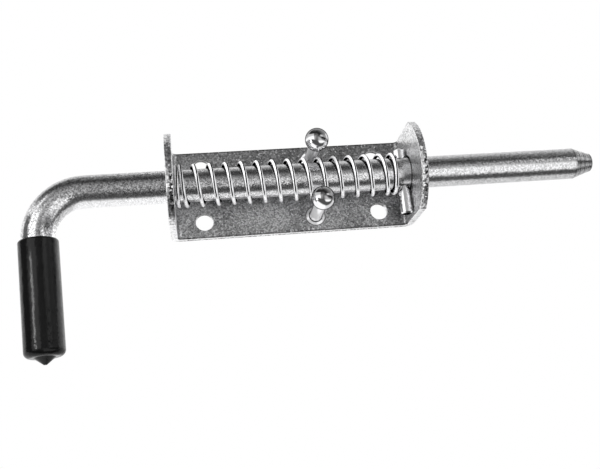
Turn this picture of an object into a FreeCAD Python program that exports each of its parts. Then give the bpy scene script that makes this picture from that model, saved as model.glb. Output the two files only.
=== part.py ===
import FreeCAD, Part
import math
import os
import Sketcher

# Spring loaded gate latch. A folded steel bracket carries a sliding round bolt, which a spring pushes out to
# the right through a cross pin. The bolt's other end is bent down as a handle with a moulded grip. Two ball
# studs stand on the plate: turned towards the user and pulled, the bolt hooks its cross pin behind one of
# them and stays open.
#
# Frame, in millimetres: the origin is the middle of the four screw holes, on the plate's back face. +X runs
# along the bolt to its free end, +Z is up in the plate's plane, and the gate lies on the +Y side of y = 0.

driving = {
    # folded bracket
    "sheet_gauge": 3.4,
    "plate_width": 45.9,
    "ear_spacing": 117.4,
    "bend_radius": 2.0,
    "bolt_axis_height": 18.7,
    "ear_shoulder": 11.8,
    "bore_gap": 0.3,
    "edge_break": 0.35,
    "screw_hole_diameter": 9.0,
    "screw_spacing_along": 90.0,
    "screw_spacing_across": 29.0,
    # sliding bolt
    "bolt_diameter": 16.0,
    "bolt_reach": 156.1,
    "cone_length": 10.2,
    "cone_end_diameter": 9.6,
    "cone_edge": 1.0,
    "handle_setback": 123.8,
    "handle_bend_radius": 22.0,
    "handle_lean": 2.3,
    "handle_length": 53.5,
    "handle_chamfer": 1.0,
    # grip on the handle
    "grip_wall": 1.45,
    "grip_rim_gap": 0.2,
    "grip_rim_radius": 1.1,
    "grip_floor": 2.0,
    "grip_corner_radius": 3.0,
    "nub_base_diameter": 10.0,
    "nub_tip_diameter": 1.4,
    "nub_length": 3.3,
    # compression spring
    "wire_diameter": 1.8,
    "spring_outer_diameter": 21.4,
    "spring_turns": 15.82,
    "spring_end_turns": 1.45,
    "spring_end_gap": 0.1,
    "spring_start_angle": 120.0,
    "spring_seat_gap": 0.2,
    # cross pin
    "pin_diameter": 6.0,
    "pin_rest_gap": 0.3,
    "pin_long_side": 21.4,
    "pin_short_side": 12.6,
    "pin_chamfer": 0.6,
    "socket_across_flats": 3.0,
    "socket_depth": 3.5,
    # ball studs
    "stud_place": 11.6,
    "stud_spacing": 30.0,
    "ball_diameter": 11.5,
    "ball_height": 33.0,
    "stud_shank_diameter": 6.5,
    "stud_foot_diameter": 10.4,
    "stud_foot_thickness": 1.2,
    "rivet_diameter": 5.0,
    "rivet_flare": 0.8,
}

doc = FreeCAD.newDocument("gate_latch")
sizes = doc.addObject("Spreadsheet::Sheet", "sizes")
for row, (alias, millimetres) in enumerate(driving.items(), start=1):
    sizes.set(f"A{row}", alias.replace("_", " "))
    sizes.set(f"B{row}", str(millimetres))
    sizes.setAlias(f"B{row}", alias)
doc.recompute()

# Sizes worked out from the driving ones, as formulas that sketches and features are bound to

bolt_radius = "(sizes.bolt_diameter / 2)"
half_width = "(sizes.plate_width / 2)"
ear_inside = "(sizes.ear_spacing / 2)"
ear_outside = "(sizes.ear_spacing / 2 + sizes.sheet_gauge)"
bend_depth = "(sizes.sheet_gauge + sizes.bend_radius)"
nose_radius = f"sqrt({half_width} ^ 2 + sizes.ear_shoulder ^ 2)"
nose_start = "(sizes.bolt_axis_height + sizes.ear_shoulder)"
nose_depth = f"(sizes.bolt_axis_height + {nose_radius})"
bend_centre_x = "(sizes.handle_setback - sizes.handle_bend_radius)"
handle_top_x = f"({bend_centre_x} + sizes.handle_bend_radius * cos(sizes.handle_lean * 1 deg))"
handle_top_z = "(sizes.handle_bend_radius * (1 + sin(sizes.handle_lean * 1 deg)))"
handle_bottom_x = f"({handle_top_x} - sizes.handle_length * sin(sizes.handle_lean * 1 deg))"
handle_bottom_z = f"({handle_top_z} + sizes.handle_length * cos(sizes.handle_lean * 1 deg))"
pin_radius = "(sizes.pin_diameter / 2)"
pin_place = f"({ear_inside} - sizes.pin_rest_gap - {pin_radius})"
stud_offset = "(sizes.stud_spacing / 2)"
stud_shank_radius = "(sizes.stud_shank_diameter / 2)"


def number(formula):
    """The value of a formula at the present sizes."""
    return float(sizes.evalExpression(formula))


def bind(thing, formulas):
    """Bind a feature's properties to formulas."""
    for name, formula in formulas.items():
        thing.setExpression(name, formula)


def new_body(label):
    """An empty body whose label names its file."""
    body = doc.addObject("PartDesign::Body", label)
    body.Label = label
    return body


def origin_plane(body, role):
    """One of the body's own origin planes."""
    return next(plane for plane in body.Origin.OriginFeatures if plane.Role == role)


def new_sketch(body, name, role, shift=None):
    """A sketch on one of the body's origin planes, moved along the plane's normal by a formula."""
    sketch = body.newObject("Sketcher::SketchObject", name)
    sketch.AttachmentSupport = [(origin_plane(body, role), "")]
    sketch.MapMode = "FlatFace"
    if shift:
        sketch.setExpression("AttachmentOffset.Base.z", shift)
    return sketch


def hold(sketch, kind, where, formula, label):
    """A dimension in a sketch, bound to a formula."""
    place = sketch.addConstraint(Sketcher.Constraint(kind, *where, number(formula)))
    sketch.renameConstraint(place, label)
    sketch.setExpression(f"Constraints.{label}", formula)


def circles(sketch, centres, radius):
    """Equal circles about the given centres, each an (across, up) pair of formulas."""
    middle = Part.Circle(FreeCAD.Vector(), FreeCAD.Vector(0, 0, 1), number(radius))
    for index, (across, up) in enumerate(centres):
        middle.Center = FreeCAD.Vector(number(across), number(up), 0)
        geometry = sketch.addGeometry(middle, False)
        hold(sketch, "Radius", (geometry,), radius, f"radius_{index}")
        hold(sketch, "DistanceX", (-1, 1, geometry, 3), across, f"across_{index}")
        hold(sketch, "DistanceY", (-1, 1, geometry, 3), up, f"up_{index}")


def arc_between(start, finish, radius, turn):
    """The short arc from start to finish, turning left (1) or right (-1)."""
    chord = finish - start
    left = FreeCAD.Vector(-chord.y, chord.x, 0).normalize()
    rise = math.sqrt(max(radius ** 2 - (chord.Length / 2) ** 2, 0))
    centre = start + chord * 0.5 + left * rise * turn
    first, last = (start, finish) if turn > 0 else (finish, start)
    begin = math.atan2(first.y - centre.y, first.x - centre.x)
    end = math.atan2(last.y - centre.y, last.x - centre.x)
    if end < begin:
        end += 2 * math.pi
    return Part.ArcOfCircle(Part.Circle(centre, FreeCAD.Vector(0, 0, 1), radius), begin, end)


def outline(sketch, corners, closed=True):
    """Lines and arcs through corners. A corner is (across, up), or (across, up, radius, turn) where an arc
    with that radius leads to the next corner."""
    points = [FreeCAD.Vector(number(corner[0]), number(corner[1]), 0) for corner in corners]
    runs = len(corners) if closed else len(corners) - 1
    ends = []
    for index in range(runs):
        start = points[index]
        finish = points[(index + 1) % len(points)]
        corner = corners[index]
        if len(corner) == 2:
            geometry = sketch.addGeometry(Part.LineSegment(start, finish), False)
            ends.append((geometry, 1, 2))
        else:
            arc = arc_between(start, finish, number(corner[2]), corner[3])
            geometry = sketch.addGeometry(arc, False)
            ends.append((geometry, 1, 2) if corner[3] > 0 else (geometry, 2, 1))
            hold(sketch, "Radius", (geometry,), corner[2], f"radius_{index}")
    for index, (geometry, first, last) in enumerate(ends):
        hold(sketch, "DistanceX", (-1, 1, geometry, first), corners[index][0], f"across_{index}")
        hold(sketch, "DistanceY", (-1, 1, geometry, first), corners[index][1], f"up_{index}")
        if closed or index + 1 < runs:
            following = ends[(index + 1) % runs]
            join = Sketcher.Constraint("Coincident", geometry, last, following[0], following[1])
            sketch.addConstraint(join)
        else:
            hold(sketch, "DistanceX", (-1, 1, geometry, last), corners[-1][0], "across_end")
            hold(sketch, "DistanceY", (-1, 1, geometry, last), corners[-1][1], "up_end")


def revolve(body, name, sketch, axis):
    """A full turn of the sketch about one of its own axes."""
    turned = body.newObject("PartDesign::Revolution", name)
    turned.Profile = sketch
    turned.ReferenceAxis = (sketch, [axis])
    turned.Angle = 360
    return turned


def cut_through(body, name, sketch):
    """A pocket through everything, to both sides of the sketch, which has to remove material."""
    before = body.Shape.Volume
    pocket = body.newObject("PartDesign::Pocket", name)
    pocket.Profile = sketch
    pocket.SideType = "Symmetric"
    pocket.Type = "ThroughAll"
    doc.recompute()
    if pocket.Shape.Volume >= before:
        raise RuntimeError(name + " cuts nothing")
    return pocket


def edge_names(feature, wanted):
    """The names of a feature's edges that the test accepts."""
    return [f"Edge{index}" for index, edge in enumerate(feature.Shape.Edges, start=1) if wanted(edge)]


def dress(body, kind, name, feature, wanted, size_name, formula):
    """A fillet or chamfer on the edges of a feature that the test accepts."""
    dressing = body.newObject("PartDesign::" + kind, name)
    dressing.Base = (feature, edge_names(feature, wanted))
    dressing.setExpression(size_name, formula)
    doc.recompute()
    return dressing


def near(value, formula):
    """Whether a measured value equals a formula's, within rounding."""
    return abs(value - number(formula)) < 1e-4


def is_circle(edge, radius):
    """Whether an edge is part of a circle with the radius that the formula gives."""
    return isinstance(edge.Curve, Part.Circle) and near(edge.Curve.Radius, radius)


# Bracket: one sheet, folded twice. The U is the view from above: plate at the back, ears to the front.

bracket = new_body("bracket")
folded_profile = new_sketch(bracket, "folded_profile", "XY_Plane")
outline(folded_profile, [
    (f"-{ear_outside}", f"-{nose_depth}"),
    (f"-{ear_inside}", f"-{nose_depth}"),
    (f"-{ear_inside}", f"-{bend_depth}", "sizes.bend_radius", -1),
    (f"-({ear_inside} - sizes.bend_radius)", "-sizes.sheet_gauge"),
    (f"{ear_inside} - sizes.bend_radius", "-sizes.sheet_gauge", "sizes.bend_radius", -1),
    (ear_inside, f"-{bend_depth}"),
    (ear_inside, f"-{nose_depth}"),
    (ear_outside, f"-{nose_depth}"),
    (ear_outside, f"-{bend_depth}", bend_depth, 1),
    (f"{ear_inside} - sizes.bend_radius", "0"),
    (f"-({ear_inside} - sizes.bend_radius)", "0", bend_depth, 1),
    (f"-{ear_outside}", f"-{bend_depth}"),
])
folded_sheet = bracket.newObject("PartDesign::Pad", "folded_sheet")
folded_sheet.Profile = folded_profile
folded_sheet.SideType = "Symmetric"
bind(folded_sheet, {"Length": "sizes.plate_width"})
doc.recompute()

# The ears end in an arc about the bolt's axis, and what lies in front of it is cut away.
trim_room = "sizes.sheet_gauge"
nose_outline = new_sketch(bracket, "nose_outline", "YZ_Plane")
outline(nose_outline, [
    (f"-{nose_start}", half_width, nose_radius, 1),
    (f"-{nose_start}", f"-{half_width}"),
    (f"-{nose_start}", f"-({half_width} + {trim_room})"),
    (f"-({nose_depth} + {trim_room})", f"-({half_width} + {trim_room})"),
    (f"-({nose_depth} + {trim_room})", f"{half_width} + {trim_room}"),
    (f"-{nose_start}", f"{half_width} + {trim_room}"),
])
rounded_ears = cut_through(bracket, "rounded_ears", nose_outline)


def on_sheared_rim(edge):
    """The long edges of the sheet's cut rim: along both sides of the U and round the ears' noses."""
    if is_circle(edge, nose_radius):
        return True
    box = edge.BoundBox
    flat_side = box.ZLength < 1e-4 and near(abs(box.ZMax), half_width)
    across_gauge = near(-box.YMin, nose_start) and box.YLength < 1e-4
    return flat_side and not across_gauge


eased_rim = dress(bracket, "Fillet", "eased_rim", rounded_ears, on_sheared_rim, "Radius", "sizes.edge_break")

bolt_bores = new_sketch(bracket, "bolt_bores", "YZ_Plane")
circles(bolt_bores, [("-sizes.bolt_axis_height", "0")], f"{bolt_radius} + sizes.bore_gap")
cut_through(bracket, "bored_ears", bolt_bores)

screw_holes = new_sketch(bracket, "screw_holes", "XZ_Plane")
circles(screw_holes, [
    (f"{side} * sizes.screw_spacing_along / 2", f"{level} * sizes.screw_spacing_across / 2")
    for side in (-1, 1) for level in (-1, 1)
], "sizes.screw_hole_diameter / 2")
cut_through(bracket, "drilled_plate", screw_holes)

rivet_radius = "(sizes.rivet_diameter / 2)"
rivet_holes = new_sketch(bracket, "rivet_holes", "XZ_Plane")
circles(rivet_holes, [("sizes.stud_place", f"{level} * {stud_offset}") for level in (-1, 1)], rivet_radius)
riveted_plate = cut_through(bracket, "riveted_plate", rivet_holes)


def on_rivet_back(edge):
    """The rims of the two rivet holes on the plate's back."""
    return is_circle(edge, rivet_radius) and near(edge.BoundBox.YMax, "0") and edge.BoundBox.YLength < 1e-4


dress(bracket, "Chamfer", "rivet_sinks", riveted_plate, on_rivet_back, "Size", "sizes.rivet_flare")

# Bolt rod: a turned bar with a cone at its free end, bent down at the other end. Its own frame has the X axis
# along the bolt, and the cross hole is drilled straight down through it.

bolt_rod = new_body("bolt_rod")
bind(bolt_rod, {"Placement.Base.y": "-sizes.bolt_axis_height"})
cone_end_radius = "(sizes.cone_end_diameter / 2)"
shank_profile = new_sketch(bolt_rod, "shank_profile", "XZ_Plane")
outline(shank_profile, [
    (f"-{bend_centre_x}", "0"),
    ("sizes.bolt_reach", "0"),
    ("sizes.bolt_reach", f"{cone_end_radius} - sizes.cone_edge", "sizes.cone_edge", 1),
    ("sizes.bolt_reach - sizes.cone_edge", cone_end_radius),
    ("sizes.bolt_reach - sizes.cone_length", bolt_radius),
    (f"-{bend_centre_x}", bolt_radius),
])
revolve(bolt_rod, "shank", shank_profile, "H_Axis")

bar_section = new_sketch(bolt_rod, "bar_section", "YZ_Plane", f"-{bend_centre_x}")
circles(bar_section, [("0", "0")], bolt_radius)
handle_path = new_sketch(bolt_rod, "handle_path", "XZ_Plane")
outline(handle_path, [
    (f"-{bend_centre_x}", "0", "sizes.handle_bend_radius", 1),
    (f"-{handle_top_x}", f"-{handle_top_z}"),
    (f"-{handle_bottom_x}", f"-{handle_bottom_z}"),
], closed=False)
bent_handle = bolt_rod.newObject("PartDesign::AdditivePipe", "bent_handle")
bent_handle.Profile = bar_section
bent_handle.Spine = handle_path
doc.recompute()


def on_handle_end(edge):
    """The rim of the handle's lower end."""
    return is_circle(edge, bolt_radius) and edge.BoundBox.ZMax < -number(handle_bottom_z) + number(bolt_radius)


chamfered_end = dress(bolt_rod, "Chamfer", "chamfered_end", bent_handle, on_handle_end, "Size",
                      "sizes.handle_chamfer")

cross_hole = new_sketch(bolt_rod, "cross_hole", "XY_Plane")
circles(cross_hole, [(pin_place, "0")], pin_radius)
cut_through(bolt_rod, "cross_drilled", cross_hole)

# Grip sleeve: dip-moulded on the handle. Its own frame has the Z axis up the handle from the end of the bend.

grip_sleeve = new_body("grip_sleeve")
grip_sleeve.Placement.Rotation = FreeCAD.Rotation(FreeCAD.Vector(0, -1, 0), 1)
bind(grip_sleeve, {
    "Placement.Base.x": f"-{handle_top_x}",
    "Placement.Base.y": "-sizes.bolt_axis_height",
    "Placement.Base.z": f"-{handle_top_z}",
    "Placement.Rotation.Angle": "sizes.handle_lean * 1 deg",
})
grip_radius = f"({bolt_radius} + sizes.grip_wall)"
grip_bottom = "(sizes.handle_length + sizes.grip_floor)"
nub_bottom = f"({grip_bottom} + sizes.nub_length)"
nub_base_radius = "(sizes.nub_base_diameter / 2)"
nub_tip_radius = "(sizes.nub_tip_diameter / 2)"
grip_profile = new_sketch(grip_sleeve, "grip_profile", "XZ_Plane")
outline(grip_profile, [
    ("0", "-sizes.handle_length"),
    ("0", f"-{nub_bottom}"),
    (nub_tip_radius, f"-{nub_bottom}"),
    (nub_base_radius, f"-{grip_bottom}"),
    (f"{grip_radius} - sizes.grip_corner_radius", f"-{grip_bottom}", "sizes.grip_corner_radius", 1),
    (grip_radius, f"-({grip_bottom} - sizes.grip_corner_radius)"),
    (grip_radius, "-(sizes.grip_rim_gap + sizes.grip_rim_radius)", "sizes.grip_rim_radius", 1),
    (f"{grip_radius} - sizes.grip_rim_radius", "-sizes.grip_rim_gap"),
    (bolt_radius, "-sizes.grip_rim_gap"),
    (bolt_radius, "-(sizes.handle_length - sizes.handle_chamfer)"),
    (f"{bolt_radius} - sizes.handle_chamfer", "-sizes.handle_length"),
])
revolve(grip_sleeve, "moulded_sleeve", grip_profile, "V_Axis")

# Cross pin: a polished pin with a hex socket in its lower end. Its own frame has the origin on the bolt's
# axis and the Z axis along the pin.

cross_pin = new_body("cross_pin")
bind(cross_pin, {"Placement.Base.x": pin_place, "Placement.Base.y": "-sizes.bolt_axis_height"})
pin_profile = new_sketch(cross_pin, "pin_profile", "XZ_Plane")
outline(pin_profile, [
    ("0", "-sizes.pin_long_side"),
    (f"{pin_radius} - sizes.pin_chamfer", "-sizes.pin_long_side"),
    (pin_radius, "-(sizes.pin_long_side - sizes.pin_chamfer)"),
    (pin_radius, "sizes.pin_short_side - sizes.pin_chamfer"),
    (f"{pin_radius} - sizes.pin_chamfer", "sizes.pin_short_side"),
    ("0", "sizes.pin_short_side"),
])
turned_pin = revolve(cross_pin, "turned_pin", pin_profile, "V_Axis")
doc.recompute()

flat_distance = "(sizes.socket_across_flats / 2)"
point_distance = "(sizes.socket_across_flats / sqrt(3))"
socket_outline = new_sketch(cross_pin, "socket_outline", "XY_Plane", "-sizes.pin_long_side")
outline(socket_outline, [
    (point_distance, "0"),
    (f"{point_distance} / 2", flat_distance),
    (f"-{point_distance} / 2", flat_distance),
    (f"-{point_distance}", "0"),
    (f"-{point_distance} / 2", f"-{flat_distance}"),
    (f"{point_distance} / 2", f"-{flat_distance}"),
])
hex_socket = cross_pin.newObject("PartDesign::Pocket", "hex_socket")
hex_socket.Profile = socket_outline
hex_socket.Reversed = True
bind(hex_socket, {"Length": "sizes.socket_depth"})
doc.recompute()
if hex_socket.Shape.Volume >= turned_pin.Shape.Volume:
    raise RuntimeError("hex_socket cuts nothing")

# Ball studs: turned in one piece, with the ball at the front and a rivet shank that fills its hole in the
# plate, flared at the back. Their own frame has the Z axis out of the plate's back towards the ball.


def new_stud(label, level):
    """A ball stud above (1) or below (-1) the bolt."""
    stud = new_body(label)
    stud.Placement.Rotation = FreeCAD.Rotation(FreeCAD.Vector(1, 0, 0), 90)
    bind(stud, {"Placement.Base.x": "sizes.stud_place", "Placement.Base.z": f"{level} * {stud_offset}"})
    ball_radius = "(sizes.ball_diameter / 2)"
    ball_meets_shank = f"(sizes.ball_height - sqrt({ball_radius} ^ 2 - {stud_shank_radius} ^ 2))"
    foot_radius = "(sizes.stud_foot_diameter / 2)"
    profile = new_sketch(stud, label + "_profile", "XZ_Plane")
    outline(profile, [
        ("0", "0"),
        (f"{rivet_radius} + sizes.rivet_flare", "0"),
        (rivet_radius, "sizes.rivet_flare"),
        (rivet_radius, "sizes.sheet_gauge"),
        (foot_radius, "sizes.sheet_gauge"),
        (stud_shank_radius, "sizes.sheet_gauge + sizes.stud_foot_thickness"),
        (stud_shank_radius, ball_meets_shank, ball_radius, 1),
        (ball_radius, "sizes.ball_height", ball_radius, 1),
        ("0", f"sizes.ball_height + {ball_radius}"),
    ])
    revolve(stud, label + "_turned", profile, "V_Axis")
    return stud


upper_ball_stud = new_stud("upper_ball_stud", 1)
lower_ball_stud = new_stud("lower_ball_stud", -1)

# Compression spring: round wire wound round the bolt, from the left ear to the cross pin. Over the end turns
# the pitch grows with the square of the turn, so each end coil sits flat and closes on the next, short of
# touching it by the end gap.

coil_radius = number("(sizes.spring_outer_diameter - sizes.wire_diameter) / 2")
wire_radius = number("sizes.wire_diameter / 2")
spring_left = -number(ear_inside) + number("sizes.spring_seat_gap") + wire_radius
spring_right = number(pin_place) - number(pin_radius) - number("sizes.spring_seat_gap") - wire_radius
turns = number("sizes.spring_turns")
end_turns = number("sizes.spring_end_turns")
spring_length = spring_right - spring_left
first_turn = number("sizes.wire_diameter + sizes.spring_end_gap")
open_turns = turns - 4 / 3 * end_turns
growth = 1 / (3 * end_turns ** 2)
slack = 1 - growth - 4 / 3 * growth * end_turns / open_turns
end_pitch = (first_turn - growth * spring_length / open_turns) / slack
open_pitch = (spring_length - 4 / 3 * end_pitch * end_turns) / open_turns
points_in_turn = 16


def coil_travel(turn):
    """How far along the axis the wire has come after a number of turns."""
    from_end = min(turn, turns - turn)
    ramp_turns = min(from_end, end_turns)
    gained = end_pitch * ramp_turns + (open_pitch - end_pitch) * growth * ramp_turns ** 3
    gained += open_pitch * (from_end - ramp_turns)
    return gained if turn <= turns / 2 else spring_length - gained


def coil_point(turn):
    """The middle of the wire after a number of turns. The coil is right-handed along +X."""
    angle = math.radians(number("sizes.spring_start_angle") + 360 * turn)
    across = coil_radius * math.cos(angle)
    up = coil_radius * math.sin(angle)
    return FreeCAD.Vector(spring_left + coil_travel(turn), across, up)


steps = math.ceil(turns * points_in_turn)
wire_line = Part.BSplineCurve()
wire_line.interpolate([coil_point(turns * step / steps) for step in range(steps + 1)])
wire_path = Part.Wire(wire_line.toShape())
wire_end = Part.Circle(coil_point(0), wire_line.tangent(wire_line.FirstParameter)[0], wire_radius)
compression_spring = doc.addObject("Part::Feature", "compression_spring")
compression_spring.Label = "compression_spring"
compression_spring.Shape = wire_path.makePipeShell([Part.Wire(wire_end.toShape())], True, True)
compression_spring.Placement.Base = FreeCAD.Vector(0, -number("sizes.bolt_axis_height"), 0)

doc.recompute()

# Check every object and write one file for each piece

pieces = [
    bracket, bolt_rod, grip_sleeve, compression_spring, cross_pin, upper_ball_stud, lower_ball_stud,
]
for thing in doc.Objects:
    if "Invalid" in thing.State or "Error" in thing.State:
        raise RuntimeError(thing.Label + " failed: " + thing.getStatusString())
for piece in pieces:
    if piece.Shape.isNull() or not piece.Shape.isValid() or len(piece.Shape.Solids) != 1:
        raise RuntimeError(piece.Label + " is not one valid solid")

os.makedirs("parts", exist_ok=True)
for piece in pieces:
    piece.Shape.exportStep(os.path.join("parts", piece.Label + ".step"))
    print(f"{piece.Label}: {piece.Shape.Volume:.1f} mm3")
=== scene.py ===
# %% [markdown]
# The object is a spring loaded gate latch: a folded steel bracket, a sliding round bolt bent down into a
# handle, a spring, a cross pin and two ball studs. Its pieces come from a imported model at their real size,
# in metres, with +X along the bolt, +Z up and the viewer on the -Y side. That model is a fixed frame, so
# this script never moves it, and only adds finishes, a finer spring, light and a camera.

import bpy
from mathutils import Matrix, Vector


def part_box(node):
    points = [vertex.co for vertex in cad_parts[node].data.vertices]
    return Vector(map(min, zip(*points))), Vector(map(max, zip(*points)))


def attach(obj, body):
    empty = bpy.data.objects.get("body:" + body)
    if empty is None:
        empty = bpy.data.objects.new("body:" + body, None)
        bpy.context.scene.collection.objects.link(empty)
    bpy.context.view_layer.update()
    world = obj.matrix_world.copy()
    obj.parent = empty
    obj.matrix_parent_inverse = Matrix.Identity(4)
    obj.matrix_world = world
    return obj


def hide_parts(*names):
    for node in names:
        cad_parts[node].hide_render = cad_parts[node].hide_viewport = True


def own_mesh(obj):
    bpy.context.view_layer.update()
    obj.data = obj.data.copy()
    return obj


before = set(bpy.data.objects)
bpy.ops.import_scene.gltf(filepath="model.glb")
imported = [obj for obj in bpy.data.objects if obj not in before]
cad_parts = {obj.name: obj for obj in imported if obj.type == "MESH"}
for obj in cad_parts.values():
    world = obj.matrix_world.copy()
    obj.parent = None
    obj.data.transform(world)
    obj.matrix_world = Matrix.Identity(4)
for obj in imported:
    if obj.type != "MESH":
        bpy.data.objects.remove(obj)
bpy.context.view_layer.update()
print("nodes:", sorted(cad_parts))

# %% [markdown]
# The rest of the script needs a few of Blender's own modules. Numbers are easier to read in millimetres,
# so one factor turns them into Blender's metres.

# %% Modules and units
import math

import bpy
from mathutils import Matrix, Vector

MM = 0.001
scene = bpy.context.scene
print("Blender", bpy.app.version_string)


# %% [markdown]
# The photograph was taken from a little below the latch and left of its middle, with a short telephoto
# lens. The place and direction below come from fitting straight edges of the plate, the bolt and the ears.
# A camera could also be aimed with a constraint, but a fixed matrix is exact and keeps the slight roll.

# %% Camera at the photograph's viewpoint
def put_in_scene(name, data):
    """A new object that holds the data, placed in the scene."""
    thing = bpy.data.objects.new(name, data)
    scene.collection.objects.link(thing)
    return thing


camera_place = Vector((-51.85, -404.55, -133.56)) * MM
looking = Vector((0.1299, 0.95666, 0.26064)).normalized()
rough_upward = Vector((0.06635, -0.27066, 0.96038))
sideways = looking.cross(rough_upward).normalized()
upward = sideways.cross(looking)

camera_data = bpy.data.cameras.new("studio_camera")
camera_data.sensor_width = 36.0
camera_data.lens = 49.44
camera_data.clip_start = 0.01
camera = put_in_scene("studio_camera", camera_data)
turn = Matrix((sideways, upward, -looking)).transposed().to_4x4()
camera.matrix_world = Matrix.Translation(camera_place) @ turn
scene.camera = camera
scene.view_settings.view_transform = "Standard"


# %% [markdown]
# Lights and finishes are trees of nodes, where each node does one small sum. They could be wired by hand in
# the shader editor, and each takes three or four lines in a script. So the helpers below wire them: every
# one takes sockets or plain numbers, and gives the socket that holds the result.

# %% Helpers that do sums
def feed(tree, value, socket):
    """Set a socket to a number, or link another socket to it."""
    if isinstance(value, (int, float)):
        socket.default_value = value
    else:
        tree.links.new(value, socket)


def math_node(tree, operation, first, second=None, clamp=False):
    """The result of one sum."""
    node = tree.nodes.new("ShaderNodeMath")
    node.operation = operation
    node.use_clamp = clamp
    feed(tree, first, node.inputs[0])
    if second is not None:
        feed(tree, second, node.inputs[1])
    return node.outputs[0]


def times(tree, first, *factors):
    """The product of all of them."""
    for factor in factors:
        first = math_node(tree, "MULTIPLY", first, factor)
    return first


def plus(tree, first, second):
    """The first and the second together."""
    return math_node(tree, "ADD", first, second)


def minus(tree, first, second):
    """The first less the second."""
    return math_node(tree, "SUBTRACT", first, second)


def either(tree, first, second):
    """The larger of the two."""
    return math_node(tree, "MAXIMUM", first, second)


def size_of(tree, value):
    """The value without its sign."""
    return math_node(tree, "ABSOLUTE", value)


def distance(tree, first, second):
    """How far apart two values are."""
    return size_of(tree, minus(tree, first, second))


print("sums are ready")


# %% Helpers that blend
def smooth_step(tree, value, low, high):
    """0 below low, 1 above high, and smooth in between. With high under low it falls instead."""
    node = tree.nodes.new("ShaderNodeMapRange")
    node.interpolation_type = "SMOOTHSTEP"
    feed(tree, value, node.inputs["Value"])
    node.inputs["From Min"].default_value = min(low, high)
    node.inputs["From Max"].default_value = max(low, high)
    node.inputs["To Min"].default_value = 1.0 if high < low else 0.0
    node.inputs["To Max"].default_value = 0.0 if high < low else 1.0
    return node.outputs["Result"]


def blend_numbers(tree, share, low, high):
    """The number between low and high that a share from 0 to 1 picks."""
    node = tree.nodes.new("ShaderNodeMix")
    node.data_type = "FLOAT"
    feed(tree, share, node.inputs[0])
    feed(tree, low, node.inputs[2])
    feed(tree, high, node.inputs[3])
    return node.outputs[0]


def toned(tree, tone, share, factor):
    """The tone, times the factor where the share is 1 and as it was where the share is 0."""
    return times(tree, tone, blend_numbers(tree, share, 1.0, factor))


def through_stops(tree, value, stops):
    """A number from a value, along straight lines through (value, number) stops. Numbers stay under 1."""
    first, last = stops[0][0], stops[-1][0]
    place = tree.nodes.new("ShaderNodeMapRange")
    feed(tree, value, place.inputs["Value"])
    place.inputs["From Min"].default_value = first
    place.inputs["From Max"].default_value = last
    ramp = tree.nodes.new("ShaderNodeValToRGB")
    feed(tree, place.outputs["Result"], ramp.inputs[0])
    points = ramp.color_ramp.elements
    while len(points) < len(stops):
        points.new(0.5)
    for point, (at, number) in zip(points, stops):
        point.position = (at - first) / (last - first)
        point.color = (number, number, number, 1)
    return ramp.outputs[0]


print("blends are ready")


# %% Helpers for vectors and new finishes
def axis_parts(tree, vector):
    """The three parts of a vector."""
    node = tree.nodes.new("ShaderNodeSeparateXYZ")
    feed(tree, vector, node.inputs[0])
    return node.outputs[0], node.outputs[1], node.outputs[2]


def new_finish(name):
    """A material with a bare Principled shader. Gives the material, its tree and the shader."""
    material = bpy.data.materials.new(name)
    material.use_nodes = True
    tree = material.node_tree
    return material, tree, tree.nodes["Principled BSDF"]


print("vectors and finishes are ready")


# %% [markdown]
# Metal has no colour of its own: it shows the room. In a product studio the room is a white tent with dark
# gaps, and those gaps draw the long dark bands on a bar. The world below is that tent. Rays from the camera
# see plain white, so the background is white. Glossy rays see that white background too, wherever they leave
# backwards, and in front of the latch they see the studio: a large soft box on the left, the dark edge of the
# roof, a pale ceiling and a bright card on the right, a white table with a dark gap under it, and the dim gap
# where the camera stands. All other rays see an even pale grey, which lights the latch plainly. Real lamps
# and black cards could do this too, but a world has no edge that could come into another view.

# %% The tent: which way a ray goes
world = bpy.data.worlds.new("white_tent")
scene.world = world
world.use_nodes = True
sky = world.node_tree
sky.nodes.clear()
way = sky.nodes.new("ShaderNodeTexCoord").outputs["Generated"]
right, back, up = axis_parts(sky, way)
ahead = times(sky, back, -1.0)
in_degrees = 180 / math.pi
# swing turns from straight ahead to the right, lift is the slope seen from the side, and rise is how high
swing = times(sky, math_node(sky, "ARCTAN2", right, ahead), in_degrees)
lift = times(sky, math_node(sky, "ARCTAN2", up, ahead), in_degrees)
rise = times(sky, math_node(sky, "ARCSINE", up), in_degrees)
print("three angles in degrees tell which way a ray goes")


# %% The tent: laying light over light
def between(value, outer_low, low, high, outer_high):
    """1 from low to high, falling smoothly to 0 at the outer ends."""
    return times(sky, smooth_step(sky, value, outer_low, low), smooth_step(sky, value, outer_high, high))


def layer(under, share, *shares, level):
    """What is under it, covered to the product of the shares with a level of light."""
    return blend_numbers(sky, times(sky, share, *shares), under, level)


print("layers are ready")

# %% The tent: room, ceiling, roof and soft box
# the dim front of the room, from straight down to straight up
tent = through_stops(sky, rise, [(-90, 0.9), (-45, 0.16), (-30, 0.20), (-12, 0.30), (0, 0.38), (16, 0.38),
                                 (30, 0.24), (60, 0.15), (80, 0.20), (90, 0.40)])
# pale ceiling on the right
tent = layer(tent, smooth_step(sky, swing, 45, 90), smooth_step(sky, rise, 15, 32), level=0.50)
# dark edge of the roof, over the left box and down to eye level on the right, wider in the middle
roof_edge = blend_numbers(sky, smooth_step(sky, swing, 0, 60), 57, 6)
wider_by = times(sky, between(swing, -5, 15, 32, 60), 12.0)
off_edge = minus(sky, distance(sky, rise, roof_edge), wider_by)
tent = layer(tent, smooth_step(sky, off_edge, 18, 8), level=0.05)
# large soft box on the left
tent = layer(tent, between(swing, -140, -132, -37, -29), between(rise, -50, -43, 40, 47), level=1.3)
print("world nodes so far:", len(sky.nodes))

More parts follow.
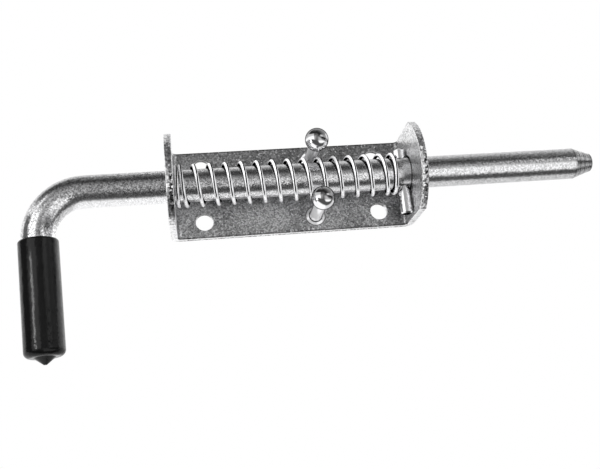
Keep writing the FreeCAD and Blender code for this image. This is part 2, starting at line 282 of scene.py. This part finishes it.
# %% The tent: table, card and dark gap
# white table on the right, up to eye level
table_edge = blend_numbers(sky, smooth_step(sky, swing, 12, 55), 3, -17)
over_edge = minus(sky, rise, table_edge)
tent = layer(tent, smooth_step(sky, swing, -8, 22), smooth_step(sky, over_edge, 6, -8), level=1.15)
# bright card on the right and its paler side
tent = layer(tent, between(swing, 22, 36, 50, 60), between(rise, 7, 12, 22, 30), level=1.4)
tent = layer(tent, between(swing, 50, 62, 100, 112), between(rise, 5, 10, 24, 32), level=0.75)
# dark gap under the table: it slants down to the right, and is wider on the left
slant = plus(sky, lift, times(sky, right, 28.0))
leftward = smooth_step(sky, right, 0.28, 0.06)
gap_edge = minus(sky, slant, times(sky, leftward, 11.0))
ground_edge = minus(sky, slant, times(sky, leftward, 4.0))
tent = layer(tent, smooth_step(sky, gap_edge, -36, -54), level=0.085)
print("world nodes so far:", len(sky.nodes))

# %% The tent: backdrop, and who sees what
# the white background, a little dimmer above and low on the right
backdrop = layer(1.1, smooth_step(sky, right, 0.05, 0.35), smooth_step(sky, up, 0.0, -0.3), level=0.75)
backdrop = layer(backdrop, smooth_step(sky, up, 0.4, 0.7), level=0.78)
# it shows below the dark gap and everywhere behind, and it has a lit edge on the right
tent = blend_numbers(sky, smooth_step(sky, ground_edge, -82, -102), tent, backdrop)
tent = blend_numbers(sky, smooth_step(sky, back, 0.05, 0.4), tent, backdrop)
tent = layer(tent, between(swing, 88, 102, 150, 165), between(rise, 2, 8, 30, 38), level=1.7)

rays = sky.nodes.new("ShaderNodeLightPath")
plain_level = 0.85
seen = blend_numbers(sky, rays.outputs["Is Glossy Ray"], plain_level, tent)
seen = blend_numbers(sky, rays.outputs["Is Transmission Ray"], seen, 1.0)
seen = blend_numbers(sky, rays.outputs["Is Camera Ray"], seen, 1.0)
background = sky.nodes.new("ShaderNodeBackground")
background.inputs["Color"].default_value = (1, 1, 1, 1)
feed(sky, seen, background.inputs["Strength"])
feed(sky, background.outputs[0], sky.nodes.new("ShaderNodeOutputWorld").inputs["Surface"])
print("world nodes in all:", len(sky.nodes))

# %% [markdown]
# The latch hangs on a gate, so it stands on nothing. A pale floor well below it catches a soft shadow in the
# views from above. Far from the latch the floor turns to plain white light, so that its edge never shows,
# and seen from below it is clear, so that it never hides the latch. A curved paper sweep would need neither,
# but it would stand in the way of the views from behind.

# %% Floor
floor_drop = 0.35
floor_half_width = 3.0
corners = [(-1, -1), (1, -1), (1, 1), (-1, 1)]
floor_mesh = bpy.data.meshes.new("floor")
floor_mesh.from_pydata([(x * floor_half_width, y * floor_half_width, -floor_drop) for x, y in corners],
                       [], [(0, 1, 2, 3)])
floor = put_in_scene("floor", floor_mesh)
print("floor lies", floor_drop, "m below the bolt's middle")

# %% Finish of the floor
floor_finish, tree, shader = new_finish("pale_floor")
shader.inputs["Roughness"].default_value = 0.8
shader.inputs["Specular IOR Level"].default_value = 0.1
from_middle = tree.nodes.new("ShaderNodeVectorMath")
from_middle.operation = "LENGTH"
feed(tree, tree.nodes.new("ShaderNodeTexCoord").outputs["Object"], from_middle.inputs[0])
far = smooth_step(tree, from_middle.outputs["Value"], floor_drop, 5 * floor_drop)
feed(tree, blend_numbers(tree, far, 0.86, 0.0), shader.inputs["Base Color"])
shader.inputs["Emission Color"].default_value = (1, 1, 1, 1)
feed(tree, far, shader.inputs["Emission Strength"])
clear = tree.nodes.new("ShaderNodeBsdfTransparent")
above_or_below = tree.nodes.new("ShaderNodeMixShader")
feed(tree, tree.nodes.new("ShaderNodeNewGeometry").outputs["Backfacing"], above_or_below.inputs[0])
feed(tree, shader.outputs[0], above_or_below.inputs[1])
feed(tree, clear.outputs[0], above_or_below.inputs[2])
feed(tree, above_or_below.outputs[0], tree.nodes["Material Output"].inputs["Surface"])
floor_mesh.materials.append(floor_finish)
floor.visible_glossy = False
print("floor finish:", len(tree.nodes), "nodes")

# %% [markdown]
# One large lamp over the left shoulder makes the soft shadow. The lamp gives no gloss, because the tent
# already does. A sun lamp would do as well, but its shadow has a harder edge.

# %% Lamp
lamp_data = bpy.data.lights.new("large_soft_lamp", "AREA")
lamp_data.shape = "RECTANGLE"
lamp_data.size = 0.5
lamp_data.size_y = 0.5
lamp_data.energy = 10.0
lamp = put_in_scene("large_soft_lamp", lamp_data)
lamp.visible_glossy = False
lamp_place = Vector((-0.45, -0.75, 0.55))
lamp.location = lamp_place
lamp.rotation_mode = "QUATERNION"
lamp.rotation_quaternion = (-lamp_place).to_track_quat("-Z", "Y")
print("lamp is", round(lamp_place.length, 2), "m away")


# %% [markdown]
# A room far away looks the same from every part of the latch, but the photograph's handle shows things that
# its balls do not: a dark band on the left, a paler one beside it, and a thin bright streak down the grip.
# So something stood close to the handle. A dark card, a pale card and a small strip light do the same here.
# They fill much of what the handle sees, and little of what the balls see. Only glossy rays can see them.

# %% Cards and strip light beside the handle
def glossy_card(name, start, end, low, high, level):
    """An upright card from one place to another, seen from above in mm, that only glossy rays can see."""
    (x0, y0), (x1, y1) = start, end
    corners = [(x0, y0, low), (x1, y1, low), (x1, y1, high), (x0, y0, high)]
    mesh = bpy.data.meshes.new(name)
    mesh.from_pydata([Vector(corner) * MM for corner in corners], [], [(0, 1, 2, 3)])
    finish, _, shader = new_finish(name)
    shader.inputs["Base Color"].default_value = (0, 0, 0, 1)
    shader.inputs["Specular IOR Level"].default_value = 0.0
    shader.inputs["Emission Color"].default_value = (1, 1, 1, 1)
    shader.inputs["Emission Strength"].default_value = level
    mesh.materials.append(finish)
    card = put_in_scene(name, mesh)
    card.visible_camera = card.visible_diffuse = card.visible_shadow = card.visible_transmission = False


glossy_card("dark_card", (-176, -58), (-176, -13), -85, 22, level=0.12)
glossy_card("pale_card", (-187, -74), (-133, -104), -75, 22, level=1.6)
glossy_card("strip_light", (-164, -72), (-158, -77), -68, -18, level=16.0)
print("two cards and a strip light stand by the handle")


# %% [markdown]
# A finish takes its pattern from the place on the latch, so the helpers below work in the object's own frame,
# in metres. A painted image could carry the same grain, but it would need unwrapping and would blur from
# close up.

# %% Helpers for patterns
def places(tree):
    """Position and normal of the surface in the object's own frame."""
    node = tree.nodes.new("ShaderNodeTexCoord")
    return node.outputs["Object"], node.outputs["Normal"]


def noise(tree, where, scale, detail=2.0, roughness=0.5):
    """A noise value about 0.5. Scale is in features per metre."""
    node = tree.nodes.new("ShaderNodeTexNoise")
    feed(tree, where, node.inputs["Vector"])
    node.inputs["Scale"].default_value = scale
    node.inputs["Detail"].default_value = detail
    node.inputs["Roughness"].default_value = roughness
    return node.outputs[0]


def crystals(tree, where, scale):
    """A random colour for each cell of a pattern of cells. Scale is in cells per metre."""
    node = tree.nodes.new("ShaderNodeTexVoronoi")
    feed(tree, where, node.inputs["Vector"])
    node.inputs["Scale"].default_value = scale
    return node.outputs["Color"]


def wave(tree, value, period):
    """A sine wave along the value."""
    return math_node(tree, "SINE", times(tree, value, 2 * math.pi / period))


def plain_grey(tree, tone):
    """A colour from a tone, with the trace of blue that zinc and steel have."""
    node = tree.nodes.new("ShaderNodeCombineColor")
    for part, factor in zip(("Red", "Green", "Blue"), (1.0, 1.0, 1.012)):
        feed(tree, times(tree, tone, factor), node.inputs[part])
    return node.outputs[0]


print("patterns are ready")


# %% Helpers for normals
def tilted(tree, colour, amount, normal):
    """The normal, leaned by the colour's distance from mid grey on each axis."""
    lean = tree.nodes.new("ShaderNodeVectorMath")
    lean.operation = "MULTIPLY_ADD"
    feed(tree, colour, lean.inputs[0])
    lean.inputs[1].default_value = (amount, amount, amount)
    lean.inputs[2].default_value = (-amount / 2, -amount / 2, -amount / 2)
    total = tree.nodes.new("ShaderNodeVectorMath")
    total.operation = "ADD"
    feed(tree, lean.outputs[0], total.inputs[0])
    feed(tree, normal, total.inputs[1])
    unit = tree.nodes.new("ShaderNodeVectorMath")
    unit.operation = "NORMALIZE"
    feed(tree, total.outputs[0], unit.inputs[0])
    return unit.outputs[0]


def blend_vectors(tree, share, low, high):
    """The vector between low and high that a share from 0 to 1 picks."""
    node = tree.nodes.new("ShaderNodeMix")
    node.data_type = "VECTOR"
    feed(tree, share, node.inputs[0])
    feed(tree, low, node.inputs[4])
    feed(tree, high, node.inputs[5])
    return node.outputs[1]


def bump(tree, height, depth):
    """A normal from a height from 0 to 1, which stands for that depth in metres."""
    node = tree.nodes.new("ShaderNodeBump")
    node.inputs["Strength"].default_value = 1.0
    node.inputs["Distance"].default_value = depth
    feed(tree, height, node.inputs["Height"])
    return node.outputs[0]


print("normals are ready")

# %% [markdown]
# The bolt is a zinc plated bar. Plating is a skin of fine crystals, each with its own brightness and a lean
# of a degree or two, so wherever a bright band of the room meets a dark one, it breaks up into specks. A
# pattern of cells with a random tone and lean does this, and a slow noise adds the clouds. The photograph's
# bar looks brighter and smoother at its free end and darker and coarser at the handle, so the contrast of
# the cells grows that way, and its dark cells are darker there: a painted shade. A bump alone could make the
# specks, but not their different brightness.

# %% Zinc plated bar: crystals and clouds
bar_finish, tree, shader = new_finish("zinc_bar")
where, facing = places(tree)
along = axis_parts(tree, where)[0]
out_height = axis_parts(tree, facing)[2]
cloud = noise(tree, where, 120)
crystals_per_metre = 1750
cells = crystals(tree, where, crystals_per_metre)
shine = axis_parts(tree, cells)[0]
# painted shade: the dark cells darker towards the handle, where the contrast of the cells grows
painted_handle_shade = smooth_step(tree, along, 55 * MM, -75 * MM)
# painted shade: left of the bracket the underside looks paler in the photograph
underside = times(tree, smooth_step(tree, out_height, -0.50, -0.85),
                  smooth_step(tree, along, -50 * MM, -65 * MM))
light_tone = blend_numbers(tree, painted_handle_shade, 0.96, 1.0)
dark_tone = blend_numbers(tree, painted_handle_shade, 0.56, blend_numbers(tree, underside, 0.28, 0.66))
tone = blend_numbers(tree, shine, dark_tone, light_tone)
tone = times(tree, tone, blend_numbers(tree, cloud, 0.92, 1.04))
print("bar finish so far:", len(tree.nodes), "nodes")

# %% Zinc plated bar: turned cone, and the shader
bolt_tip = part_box("bolt_rod")[1].x
cone_length = 10.2 * MM
cone_start = bolt_tip - cone_length
# painted shade: a dark line at each of the cone's two corners
corner = smooth_step(tree, distance(tree, along, cone_start), 1.1 * MM, 0.3 * MM)
tip = smooth_step(tree, along, bolt_tip - 1.6 * MM, bolt_tip - 0.6 * MM)
tone = times(tree, tone, minus(tree, 1.0, either(tree, times(tree, corner, 0.35), times(tree, tip, 0.55))))
# rings left by the turning tool: darker and lighter ones, with a finer ripple; the whole cone is also darker,
# a painted shade
ring_pitch = 3.1 * MM
ripple_pitch = 1.3 * MM
ripple_depth = 0.03 * MM
on_cone = smooth_step(tree, along, cone_start, cone_start + 0.5 * MM)
tone = toned(tree, tone, on_cone, plus(tree, times(tree, wave(tree, along, ring_pitch), 0.12), 0.62))
ripple = bump(tree, times(tree, wave(tree, along, ripple_pitch), on_cone), ripple_depth)

feed(tree, plain_grey(tree, tone), shader.inputs["Base Color"])
shader.inputs["Metallic"].default_value = 1.0
feed(tree, blend_numbers(tree, cloud, 0.19, 0.24), shader.inputs["Roughness"])
feed(tree, tilted(tree, cells, 0.07, ripple), shader.inputs["Normal"])
print("bar finish:", len(tree.nodes), "nodes")

# %% [markdown]
# The bracket is plated sheet. Its flat faces are satin and speckled. Its cut rims are rougher: the punch
# leaves one zone bright and tears the other, so they have cells of their own, with dark pits. Some shades are
# painted at fixed places, as the photograph shows them: a darker top and a paler left of the plate, paler
# ears, a dark line where the shear rolled the edge over, and dark holes. Light alone would be better, because
# painted shades stay put in every view. One material with masks for all zones is used, and not one for each
# face, because the bracket is one piece of sheet and the zones fade into each other.

# %% Zinc plated sheet: flat faces
sheet_finish, tree, shader = new_finish("zinc_sheet")
where, facing = places(tree)
along, depth, height = axis_parts(tree, where)
cloud = noise(tree, where, 45, detail=3.0)
crystals_per_metre = 1500
cells = crystals(tree, where, crystals_per_metre)
shine, fleck = axis_parts(tree, cells)[:2]
speckle = plus(tree, times(tree, cloud, 0.6), times(tree, shine, 0.4))
tone = through_stops(tree, speckle, [(0.22, 0.16), (0.5, 0.49), (0.73, 0.92)])
on_ear = smooth_step(tree, depth, -5.5 * MM, -6.2 * MM)
on_plate = minus(tree, 1.0, on_ear)
# painted shades: darker at the top of the plate, paler towards the left and on the ears
tone = toned(tree, tone, times(tree, smooth_step(tree, height, 0.0, 20 * MM), on_plate), 0.66)
tone = toned(tree, tone, smooth_step(tree, along, 20 * MM, -45 * MM), 1.2)
tone = math_node(tree, "MULTIPLY", tone, blend_numbers(tree, on_ear, 1.0, 1.45), clamp=True)
# painted shade: a dark line along the rolled edge
half_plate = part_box("bracket")[1].z
off_middle = size_of(tree, height)
painted_rolled_edge_line = smooth_step(tree, off_middle, half_plate - 1.0 * MM, half_plate - 0.5 * MM)
tone = toned(tree, tone, times(tree, painted_rolled_edge_line, on_plate), 0.4)
# bright flecks, one cell in twenty
tone = blend_numbers(tree, smooth_step(tree, fleck, 0.93, 0.97), tone, 0.95)
print("sheet finish so far:", len(tree.nodes), "nodes")

# %% Zinc plated sheet: where the cut rims are, and where they are torn
half_gauge = 1.7 * MM
ear_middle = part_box("bracket")[1].x - half_gauge
out_along, _, out_height = axis_parts(tree, facing)
ear_rim = times(tree, on_ear, smooth_step(tree, size_of(tree, out_along), 0.35, 0.15))
rim = either(tree, ear_rim, smooth_step(tree, size_of(tree, out_height), 0.6, 0.8))
# on an ear's rim the outer half is torn, and more so low down; the rim's underside is hardly torn
outward = times(tree, minus(tree, size_of(tree, along), ear_middle), math_node(tree, "SIGN", along))
torn_on_ear = times(tree, smooth_step(tree, outward, -0.6 * MM, 0.3 * MM),
                    blend_numbers(tree, smooth_step(tree, height, 6 * MM, -4 * MM), 0.25, 1.0))
torn_on_ear = toned(tree, torn_on_ear, smooth_step(tree, out_height, -0.6, -0.9), 0.15)
torn_on_plate = smooth_step(tree, depth, -2.2 * MM, -1.4 * MM)
torn_zone = blend_numbers(tree, on_ear, torn_on_plate, torn_on_ear)
print("sheet finish so far:", len(tree.nodes), "nodes")

# %% Zinc plated sheet: look of the cut rims
pits_per_metre = 1250
pits = crystals(tree, where, pits_per_metre)
pit = axis_parts(tree, pits)[0]
burnished = through_stops(tree, pit, [(0.0, 0.45), (0.3, 0.85), (0.5, 1.0), (1.0, 1.0)])
torn = through_stops(tree, pit, [(0.0, 0.02), (0.45, 0.06), (0.65, 0.45), (1.0, 0.95)])
sheared = blend_numbers(tree, torn_zone, burnished, torn)
# painted shade: a darker stretch low on the left ear
low_stretch = times(tree, smooth_step(tree, height, -21.5 * MM, -19.5 * MM),
                    smooth_step(tree, height, -8 * MM, -12 * MM),
                    smooth_step(tree, along, 0.0, -50 * MM))
sheared = toned(tree, sheared, low_stretch, 0.4)
tone = blend_numbers(tree, rim, tone, sheared)
# painted shade: inside the holes, on the walls that face up or down
in_hole = times(tree, rim, on_plate,
                smooth_step(tree, off_middle, half_plate - 0.5 * MM, half_plate - 1.2 * MM))
tone = toned(tree, tone, in_hole, 0.2)
print("sheet finish so far:", len(tree.nodes), "nodes")


# %% Zinc plated sheet: shaded gap round the bolt, and the shader
def hypotenuse(tree, first, second):
    """The length of the slope over two sides."""
    squares = plus(tree, math_node(tree, "POWER", first, 2.0), math_node(tree, "POWER", second, 2.0))
    return math_node(tree, "SQRT", squares)


bolt_depth = -18.7 * MM
from_axis = hypotenuse(tree, minus(tree, depth, bolt_depth), height)
# painted shade: in and close round the bores
tone = toned(tree, tone, times(tree, smooth_step(tree, from_axis, 9.3 * MM, 8.8 * MM), on_ear), 0.06)

feed(tree, plain_grey(tree, tone), shader.inputs["Base Color"])
shader.inputs["Metallic"].default_value = 1.0
satin_roughness = blend_numbers(tree, cloud, 0.25, 0.42)
feed(tree, blend_numbers(tree, rim, satin_roughness, 0.30), shader.inputs["Roughness"])
normal = tree.nodes.new("ShaderNodeNewGeometry").outputs["Normal"]
satin = tilted(tree, cells, 0.14, normal)
ragged = tilted(tree, pits, 0.45, normal)
feed(tree, blend_vectors(tree, rim, satin, ragged), shader.inputs["Normal"])
print("sheet finish:", len(tree.nodes), "nodes")

# %% [markdown]
# The pin and the balls are polished, nearly a mirror, and the shanks of the studs are satin. In a real studio
# black cards at both sides draw a thin dark outline on a polished ball. Here Layer Weight darkens what the
# mirror reflects where it turns away from the viewer. That is a painted outline: it follows the viewer, and
# an exported model loses it, so dark parts of the tent would be a better way. The balls also look duller on
# top and on the right in the photograph, and that is painted too, at a fixed place.

# %% Polished steel: balls, shanks and the dark outline
polish_finish, tree, shader = new_finish("polished_steel")
where, facing = places(tree)
cloud = noise(tree, where, 300)
along, depth, height = axis_parts(tree, where)
out_along, _, out_height = axis_parts(tree, facing)
stud_low, stud_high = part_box("upper_ball_stud")
ball_radius = 5.75 * MM
stud_place = (stud_low.x + stud_high.x) / 2
stud_height = stud_high.z - ball_radius
off_stud = distance(tree, along, stud_place)
on_stud = smooth_step(tree, off_stud, 9.5 * MM, 8.5 * MM)
on_shank = times(tree, on_stud, smooth_step(tree, depth, -31 * MM, -29 * MM))
on_ball = times(tree, on_stud, smooth_step(tree, depth, -27.0 * MM, -27.5 * MM))
weight = tree.nodes.new("ShaderNodeLayerWeight")
weight.inputs["Blend"].default_value = 0.5
turned_away = weight.outputs["Facing"]
outline = blend_numbers(tree, on_shank, smooth_step(tree, turned_away, 0.56, 0.80),
                        smooth_step(tree, turned_away, 0.80, 0.90))
print("polished finish so far:", len(tree.nodes), "nodes")

# %% Polished steel: tone
tone = blend_numbers(tree, outline, blend_numbers(tree, cloud, 0.84, 0.96), 0.02)
# painted shade: duller on top of each ball and on its right
dull_right = times(tree, smooth_step(tree, out_along, -0.30, -0.12),
                   smooth_step(tree, out_height, -0.52, -0.36))
dull = either(tree, smooth_step(tree, out_height, -0.12, 0.10), dull_right)
tone = toned(tree, tone, times(tree, dull, on_ball), 0.45)
# painted shade: the edge of the riveted foot, and the corner where the shank meets it
off_axis = hypotenuse(tree, off_stud, minus(tree, size_of(tree, height), stud_height))
foot_ring = either(tree, smooth_step(tree, off_axis, 4.6 * MM, 5.0 * MM),
                   smooth_step(tree, off_axis, 3.7 * MM, 3.5 * MM))
by_plate = smooth_step(tree, depth, -5.6 * MM, -5.0 * MM)
tone = toned(tree, tone, times(tree, foot_ring, on_shank, by_plate), 0.08)
print("polished finish so far:", len(tree.nodes), "nodes")

# %% Polished steel: the shader
feed(tree, plain_grey(tree, tone), shader.inputs["Base Color"])
feed(tree, plain_grey(tree, blend_numbers(tree, outline, 1.0, 0.0)), shader.inputs["Specular Tint"])
mirror_roughness = blend_numbers(tree, cloud, 0.03, 0.07)
feed(tree, blend_numbers(tree, on_shank, mirror_roughness, 0.12), shader.inputs["Roughness"])
feed(tree, blend_numbers(tree, on_shank, 1.0, 0.35), shader.inputs["Metallic"])
feed(tree, bump(tree, noise(tree, where, 900), 0.006 * MM), shader.inputs["Normal"])
print("polished finish:", len(tree.nodes), "nodes")

# %% [markdown]
# The wire of the spring is bright and lit all round, and the tent draws no clear bands on it. So its finish
# holds the two that show in the photograph, as painted shades: the shade on its inner side, and the dark line
# along its front. They stay put whatever the light does. Black cards close to the spring could draw them as
# true reflections, but they would also darken the bolt inside it.

# %% Bright wire: inner side and front line
wire_finish, tree, shader = new_finish("spring_wire")
where, facing = places(tree)
cloud = noise(tree, where, 500)
_, depth, height = axis_parts(tree, where)
out_along, out_depth, out_height = axis_parts(tree, facing)
wire_radius = 0.9 * MM
spring_width = 21.4 * MM
coil_radius = spring_width / 2 - wire_radius
# outward is 1 on the outer side of the coil and -1 on its inner side
outward = plus(tree, times(tree, out_height, height), times(tree, out_depth, minus(tree, depth, bolt_depth)))
outward = math_node(tree, "DIVIDE", outward, coil_radius)
line_place = blend_numbers(tree, smooth_step(tree, height, -7 * MM, 7 * MM), -0.20, 0.45)
off_line = distance(tree, out_along, line_place)
line = times(tree, smooth_step(tree, off_line, 0.42, 0.28), smooth_step(tree, out_depth, 0.1, -0.2),
             smooth_step(tree, height, -9.8 * MM, -8.0 * MM))
shaded = either(tree, smooth_step(tree, outward, 0.05, -0.30), line)
print("wire finish so far:", len(tree.nodes), "nodes")

# %% Bright wire: the shader
tone = blend_numbers(tree, shaded, blend_numbers(tree, cloud, 0.96, 1.0), 0.01)
feed(tree, plain_grey(tree, tone), shader.inputs["Base Color"])
feed(tree, plain_grey(tree, blend_numbers(tree, shaded, 1.0, 0.0)), shader.inputs["Specular Tint"])
feed(tree, blend_numbers(tree, shaded, 0.3, 1.0), shader.inputs["Metallic"])
feed(tree, blend_numbers(tree, cloud, 0.22, 0.32), shader.inputs["Roughness"])
feed(tree, bump(tree, noise(tree, where, 2500), 0.01 * MM), shader.inputs["Normal"])
print("wire finish:", len(tree.nodes), "nodes")

# %% [markdown]
# The grip is black vinyl, made by dipping the hot handle. Vinyl from a dip is glossy, with small waves and a
# fine grain that break up the streaks of light on it. A clear coat over a matt black could look the same,
# but one glossy layer is what the real grip has.

# %% Dip-moulded vinyl
vinyl_finish, tree, shader = new_finish("black_vinyl")
where = places(tree)[0]
mottle = noise(tree, where, 700, detail=3.0)
feed(tree, plain_grey(tree, blend_numbers(tree, mottle, 0.0015, 0.0045)), shader.inputs["Base Color"])
shader.inputs["Specular IOR Level"].default_value = 0.23
feed(tree, blend_numbers(tree, mottle, 0.13, 0.19), shader.inputs["Roughness"])
wave_depth = 0.22 * MM
waves = bump(tree, noise(tree, where, 170, detail=3.0), wave_depth)
grains_per_metre = 1900
grain = crystals(tree, where, grains_per_metre)
feed(tree, tilted(tree, grain, 0.09, waves), shader.inputs["Normal"])
print("vinyl finish:", len(tree.nodes), "nodes")

# %% [markdown]
# The spring is round wire wound round the bolt. The model's own spring is one stiff solid, and a real one
# shortens when the bolt is pulled. Here it is wound again as a mesh, with the same turns and places. Over
# the end turns the pitch grows with the square of the turn, which closes each end coil on the next and
# makes it sit nearly flat. Blender's Screw modifier could wind a spring too, but only at one pitch.

# %% Sizes of the spring
spring_low, spring_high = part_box("compression_spring")
spring_turns = 15.82
end_turns = 1.45
end_gap = 0.1 * MM
start_angle = math.radians(120)
spring_left = spring_low.x + wire_radius
spring_length = spring_high.x - wire_radius - spring_left
first_turn = 2 * wire_radius + end_gap
open_turns = spring_turns - 4 / 3 * end_turns
growth = 1 / (3 * end_turns ** 2)
slack = 1 - growth - 4 / 3 * growth * end_turns / open_turns
end_pitch = (first_turn - growth * spring_length / open_turns) / slack
open_pitch = (spring_length - 4 / 3 * end_pitch * end_turns) / open_turns
print("open pitch in mm:", round(open_pitch / MM, 2))


# %% Path of the wire
def coil_travel(turn):
    """How far along its axis the wire has come after a number of turns."""
    from_end = min(turn, spring_turns - turn)
    ramp_turns = min(from_end, end_turns)
    gained = end_pitch * ramp_turns + (open_pitch - end_pitch) * growth * ramp_turns ** 3
    gained += open_pitch * (from_end - ramp_turns)
    return gained if turn <= spring_turns / 2 else spring_length - gained


def coil_point(turn):
    """The middle of the wire after a number of turns, right-handed along +X."""
    angle = start_angle + 2 * math.pi * turn
    return Vector((spring_left + coil_travel(turn),
                   bolt_depth + coil_radius * math.cos(angle),
                   coil_radius * math.sin(angle)))


print("the wire starts at", [round(part / MM, 1) for part in coil_point(0)])


# %% Rings of the wire
def wire_rings(points, radius):
    """A (place, way, radius) ring at each point, with slightly rounded ends."""
    rings = []
    for index, point in enumerate(points):
        before = points[max(index - 1, 0)]
        after = points[min(index + 1, len(points) - 1)]
        rings.append((point, (after - before).normalized(), radius))
    rounding = 0.15 * radius
    start, start_way, _ = rings[0]
    end, end_way, _ = rings[-1]
    rings[:1] = [(start, start_way, radius - rounding), (start + start_way * rounding, start_way, radius)]
    rings[-1:] = [(end - end_way * rounding, end_way, radius), (end, end_way, radius - rounding)]
    return rings


def ring_corners(point, way, radius, sides):
    """Corners of a ring across the wire. The first lies farthest from the bolt's axis."""
    out = Vector((0, point.y - bolt_depth, point.z)).normalized()
    out = (out - way * out.dot(way)).normalized()
    across = way.cross(out)
    angles = [2 * math.pi * side / sides for side in range(sides)]
    return [point + (out * math.cos(angle) + across * math.sin(angle)) * radius for angle in angles]


print("rings are ready")


# %% Wind the spring
def wound_wire(name, points, radius, sides):
    """A closed mesh tube along the points."""
    rings = wire_rings(points, radius)
    verts = [corner for ring in rings for corner in ring_corners(*ring, sides)]
    faces = []
    for low in range(0, (len(rings) - 1) * sides, sides):
        for side in range(sides):
            after = (side + 1) % sides
            faces.append((low + side, low + after, low + sides + after, low + sides + side))
    faces.append(tuple(reversed(range(sides))))
    faces.append(tuple(range(len(verts) - sides, len(verts))))
    mesh = bpy.data.meshes.new(name)
    mesh.from_pydata(verts, [], faces)
    mesh.update()
    for face in mesh.polygons:
        face.use_smooth = len(face.vertices) == 4
    return put_in_scene(name, mesh)


rings_in_turn = 48
sides_of_wire = 14
steps = math.ceil(spring_turns * rings_in_turn)
path = [coil_point(spring_turns * step / steps) for step in range(steps + 1)]
spring = wound_wire("wound_spring", path, wire_radius, sides_of_wire)
spring.data.materials.append(wire_finish)
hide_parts("compression_spring")
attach(spring, "fixed_bracket")
print("spring faces:", len(spring.data.polygons))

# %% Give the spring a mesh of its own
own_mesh(spring)

# %% [markdown]
# The other pieces keep the model's own meshes, because those are already exact, and only take their finish.
# They could be modelled again with more faces, but their curves are smooth enough from close up.

# %% Finishes on the model's own pieces
finishes = {
    "bracket": (sheet_finish, "zinc_sheet"),
    "bolt_rod": (bar_finish, "zinc_bar"),
    "grip_sleeve": (vinyl_finish, "black_vinyl"),
    "cross_pin": (polish_finish, "polished_steel"),
    "upper_ball_stud": (polish_finish, "polished_steel"),
    "lower_ball_stud": (polish_finish, "polished_steel"),
}
for node, (finish, slot_name) in finishes.items():
    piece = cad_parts[node]
    piece.data.materials.clear()
    piece.data.materials.append(finish)
print("finished pieces:", len(finishes))
